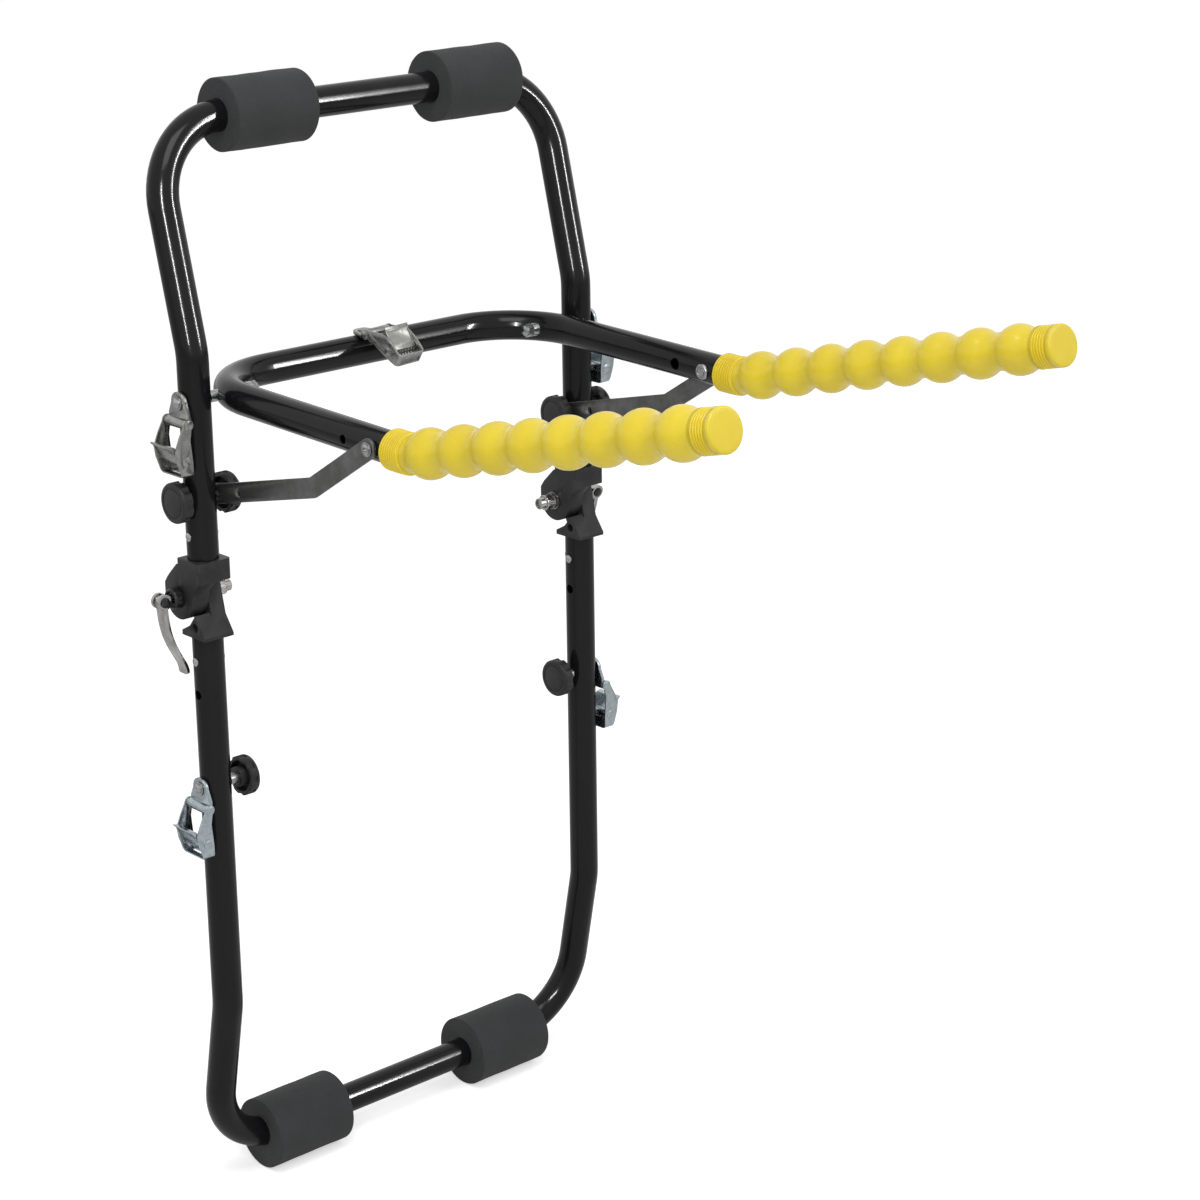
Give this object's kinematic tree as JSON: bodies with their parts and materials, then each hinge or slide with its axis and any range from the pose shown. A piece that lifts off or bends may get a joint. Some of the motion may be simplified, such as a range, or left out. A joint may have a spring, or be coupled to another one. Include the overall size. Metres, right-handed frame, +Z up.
{
  "type": "trunk mounted bike rack",
  "caption": "Folding tube rack that straps to a car's trunk and carries bikes on ball-grip arms, with foam rollers, braced side struts and cam buckles.",
  "frame": {"origin": "middle of the lower crossbar's centreline, which the lower foam rollers hold against the bumper", "axes": "+X to the rack's right along the crossbars, -Y the way the arms point, +Y towards the car, +Z up the uprights"},
  "size_m": [0.4758, 0.6325, 0.9355],
  "materials": {
    "black_tube": "gloss black powder coat",
    "black_nylon": "satin moulded nylon",
    "rivet_steel": "bare steel rivets",
    "foam": "matt closed-cell foam",
    "yellow_grip": "soft satin vinyl",
    "strut_steel": "dark passivated steel",
    "polished_steel": "polished",
    "black_steel": "satin black",
    "zinc_steel": "bright zinc plate"
  },
  "bodies": {
    "lower_frame": {"lower_hoop": "black_tube", "lower_knuckle_left": "black_nylon", "lower_knuckle_right": "black_nylon", "lower_knuckle_rivets": "rivet_steel", "lower_roller_left": "foam", "lower_roller_right": "foam", "skewers": "polished_steel", "skewer_cups": "black_steel", "lever_pins": "black_steel", "lower_strap_bolts": "zinc_steel", "lower_spacer_sleeves": "zinc_steel"},
    "upper_frame": {"upper_hoop": "black_tube", "upper_knuckle_left": "black_nylon", "upper_knuckle_right": "black_nylon", "upper_knuckle_rivets": "rivet_steel", "upper_roller_left": "foam", "upper_roller_right": "foam", "upper_knob_studs": "zinc_steel"},
    "carrier": {"carrier_hoop": "black_tube", "grip_left": "yellow_grip", "grip_right": "yellow_grip", "pivot_bolts": "zinc_steel", "pivot_spacers": "zinc_steel", "pivot_saddle_washers": "zinc_steel", "pivot_cap_nuts": "zinc_steel", "strut_rivets": "zinc_steel", "strut_rivet_rings": "zinc_steel", "centre_buckle_rivet": "zinc_steel"},
    "strut_left": {"strut_left": "strut_steel"},
    "outer_knob_left": {"outer_knob_left": "black_nylon"},
    "inner_knob_left": {"inner_knob_left": "black_nylon"},
    "lower_knob_left": {"lower_knob_left": "black_nylon"},
    "release_lever_left": {"release_lever_left": "polished_steel"},
    "skewer_nut_left": {"skewer_nut_left": "polished_steel"},
    "strut_right": {"strut_right": "strut_steel"},
    "outer_knob_right": {"outer_knob_right": "black_nylon"},
    "inner_knob_right": {"inner_knob_right": "black_nylon"},
    "lower_knob_right": {"lower_knob_right": "black_nylon"},
    "release_lever_right": {"release_lever_right": "polished_steel"},
    "skewer_nut_right": {"skewer_nut_right": "polished_steel"},
    "upper_left_buckle_link": {"upper_left_buckle_link": "zinc_steel"},
    "upper_left_buckle_body": {"upper_left_buckle_frame": "zinc_steel", "upper_left_buckle_pins": "zinc_steel"},
    "upper_left_buckle_cam": {"upper_left_buckle_cam": "zinc_steel"},
    "upper_right_buckle_link": {"upper_right_buckle_link": "zinc_steel"},
    "upper_right_buckle_body": {"upper_right_buckle_frame": "zinc_steel", "upper_right_buckle_pins": "zinc_steel"},
    "upper_right_buckle_cam": {"upper_right_buckle_cam": "zinc_steel"},
    "lower_left_buckle_link": {"lower_left_buckle_link": "zinc_steel"},
    "lower_left_buckle_body": {"lower_left_buckle_frame": "zinc_steel", "lower_left_buckle_pins": "zinc_steel"},
    "lower_left_buckle_cam": {"lower_left_buckle_cam": "zinc_steel"},
    "lower_right_buckle_link": {"lower_right_buckle_link": "zinc_steel"},
    "lower_right_buckle_body": {"lower_right_buckle_frame": "zinc_steel", "lower_right_buckle_pins": "zinc_steel"},
    "lower_right_buckle_cam": {"lower_right_buckle_cam": "zinc_steel"},
    "centre_buckle_link": {"centre_buckle_link": "zinc_steel"},
    "centre_buckle_body": {"centre_buckle_frame": "zinc_steel", "centre_buckle_pins": "zinc_steel"},
    "centre_buckle_cam": {"centre_buckle_cam": "zinc_steel"}
  },
  "joints": [
    {"name": "frame_fold", "type": "hinge", "parent": "lower_frame", "child": "upper_frame", "pos_m": [0, -0.01593, 0.50412], "axis": [-1, 0, 0], "range_deg": [0, 140]},
    {"name": "carrier_fold", "type": "hinge", "parent": "upper_frame", "child": "carrier", "pos_m": [0, -0.02993, 0.66512], "axis": [-1, 0, 0], "range_deg": [0, 85]},
    {"name": "strut_left_swing", "type": "hinge", "parent": "carrier", "child": "strut_left", "pos_m": [0, -0.22887, 0.66005], "axis": [1, 0, 0], "range_deg": [0, 9.5]},
    {"name": "outer_knob_left_turn", "type": "hinge", "parent": "upper_frame", "child": "outer_knob_left", "pos_m": [0, -0.02993, 0.58612], "axis": [1, 0, 0], "continuous": true},
    {"name": "inner_knob_left_turn", "type": "hinge", "parent": "upper_frame", "child": "inner_knob_left", "pos_m": [0, -0.02993, 0.58612], "axis": [1, 0, 0], "continuous": true},
    {"name": "lower_knob_left_turn", "type": "hinge", "parent": "lower_frame", "child": "lower_knob_left", "pos_m": [0, -0.02993, 0.34512], "axis": [1, 0, 0], "continuous": true},
    {"name": "release_lever_left_throw", "type": "hinge", "parent": "lower_frame", "child": "release_lever_left", "pos_m": [-0.2325, -0.01593, 0.50412], "axis": [0, 1, 0], "range_deg": [0, 160]},
    {"name": "skewer_nut_left_turn", "type": "hinge", "parent": "lower_frame", "child": "skewer_nut_left", "pos_m": [0, -0.01593, 0.50412], "axis": [1, 0, 0], "continuous": true},
    {"name": "strut_right_swing", "type": "hinge", "parent": "carrier", "child": "strut_right", "pos_m": [0, -0.22887, 0.66005], "axis": [1, 0, 0], "range_deg": [0, 9.5]},
    {"name": "outer_knob_right_turn", "type": "hinge", "parent": "upper_frame", "child": "outer_knob_right", "pos_m": [0, -0.02993, 0.58612], "axis": [1, 0, 0], "continuous": true},
    {"name": "inner_knob_right_turn", "type": "hinge", "parent": "upper_frame", "child": "inner_knob_right", "pos_m": [0, -0.02993, 0.58612], "axis": [1, 0, 0], "continuous": true},
    {"name": "lower_knob_right_turn", "type": "hinge", "parent": "lower_frame", "child": "lower_knob_right", "pos_m": [0, -0.02993, 0.34512], "axis": [1, 0, 0], "continuous": true},
    {"name": "release_lever_right_throw", "type": "hinge", "parent": "lower_frame", "child": "release_lever_right", "pos_m": [0.2305, -0.01593, 0.50412], "axis": [0, -0.9781, -0.2079], "range_deg": [0, 160]},
    {"name": "skewer_nut_right_turn", "type": "hinge", "parent": "lower_frame", "child": "skewer_nut_right", "pos_m": [0, -0.01593, 0.50412], "axis": [1, 0, 0], "continuous": true},
    {"name": "upper_left_buckle_swivel", "type": "hinge", "parent": "upper_frame", "child": "upper_left_buckle_link", "pos_m": [-0.2127, -0.02993, 0.66512], "axis": [-1, 0, 0], "continuous": true},
    {"name": "upper_left_buckle_tilt", "type": "hinge", "parent": "upper_left_buckle_link", "child": "upper_left_buckle_body", "pos_m": [-0.21711, -0.02993, 0.65012], "axis": [0, 1, 0], "range_deg": [0, 60]},
    {"name": "upper_left_buckle_release", "type": "hinge", "parent": "upper_left_buckle_body", "child": "upper_left_buckle_cam", "pos_m": [-0.2209, -0.02993, 0.62172], "axis": [0, 1, 0], "range_deg": [0, 24], "stiffness_Nm_per_rad": 0.03, "springref_deg": -28.65},
    {"name": "upper_right_buckle_swivel", "type": "hinge", "parent": "upper_frame", "child": "upper_right_buckle_link", "pos_m": [0.2127, -0.02993, 0.66512], "axis": [1, 0, 0], "continuous": true},
    {"name": "upper_right_buckle_tilt", "type": "hinge", "parent": "upper_right_buckle_link", "child": "upper_right_buckle_body", "pos_m": [0.21711, -0.02993, 0.65012], "axis": [0, -1, 0], "range_deg": [0, 60]},
    {"name": "upper_right_buckle_release", "type": "hinge", "parent": "upper_right_buckle_body", "child": "upper_right_buckle_cam", "pos_m": [0.2209, -0.02993, 0.62172], "axis": [0, -1, 0], "range_deg": [0, 24], "stiffness_Nm_per_rad": 0.03, "springref_deg": -28.65},
    {"name": "lower_left_buckle_swivel", "type": "hinge", "parent": "lower_frame", "child": "lower_left_buckle_link", "pos_m": [-0.2127, -0.02993, 0.34512], "axis": [-1, 0, 0], "continuous": true},
    {"name": "lower_left_buckle_tilt", "type": "hinge", "parent": "lower_left_buckle_link", "child": "lower_left_buckle_body", "pos_m": [-0.21711, -0.02993, 0.33012], "axis": [0, 1, 0], "range_deg": [0, 60]},
    {"name": "lower_left_buckle_release", "type": "hinge", "parent": "lower_left_buckle_body", "child": "lower_left_buckle_cam", "pos_m": [-0.2209, -0.02993, 0.30172], "axis": [0, 1, 0], "range_deg": [0, 24], "stiffness_Nm_per_rad": 0.03, "springref_deg": -28.65},
    {"name": "lower_right_buckle_swivel", "type": "hinge", "parent": "lower_frame", "child": "lower_right_buckle_link", "pos_m": [0.2127, -0.02993, 0.34512], "axis": [1, 0, 0], "continuous": true},
    {"name": "lower_right_buckle_tilt", "type": "hinge", "parent": "lower_right_buckle_link", "child": "lower_right_buckle_body", "pos_m": [0.21711, -0.02993, 0.33012], "axis": [0, -1, 0], "range_deg": [0, 60]},
    {"name": "lower_right_buckle_release", "type": "hinge", "parent": "lower_right_buckle_body", "child": "lower_right_buckle_cam", "pos_m": [0.2209, -0.02993, 0.30172], "axis": [0, -1, 0], "range_deg": [0, 24], "stiffness_Nm_per_rad": 0.03, "springref_deg": -28.65},
    {"name": "centre_buckle_swivel", "type": "hinge", "parent": "carrier", "child": "centre_buckle_link", "pos_m": [0, 0.01083, 0.67886], "axis": [0, -0.0255, 0.9997], "range_deg": [-40, 25]},
    {"name": "centre_buckle_tilt", "type": "hinge", "parent": "centre_buckle_link", "child": "centre_buckle_body", "pos_m": [0.00201, -0.00414, 0.68289], "axis": [-0.991, -0.1339, -0.0034], "range_deg": [0, 60]},
    {"name": "centre_buckle_release", "type": "hinge", "parent": "centre_buckle_body", "child": "centre_buckle_cam", "pos_m": [0.00561, -0.03049, 0.67223], "axis": [-0.991, -0.1339, -0.0034], "range_deg": [0, 24], "stiffness_Nm_per_rad": 0.03, "springref_deg": -28.65}
  ],
  "couplings": [
    {"joint": "strut_left_swing", "follows": "carrier_fold", "ratio": 0.11},
    {"joint": "strut_right_swing", "follows": "carrier_fold", "ratio": 0.11}
  ]
}
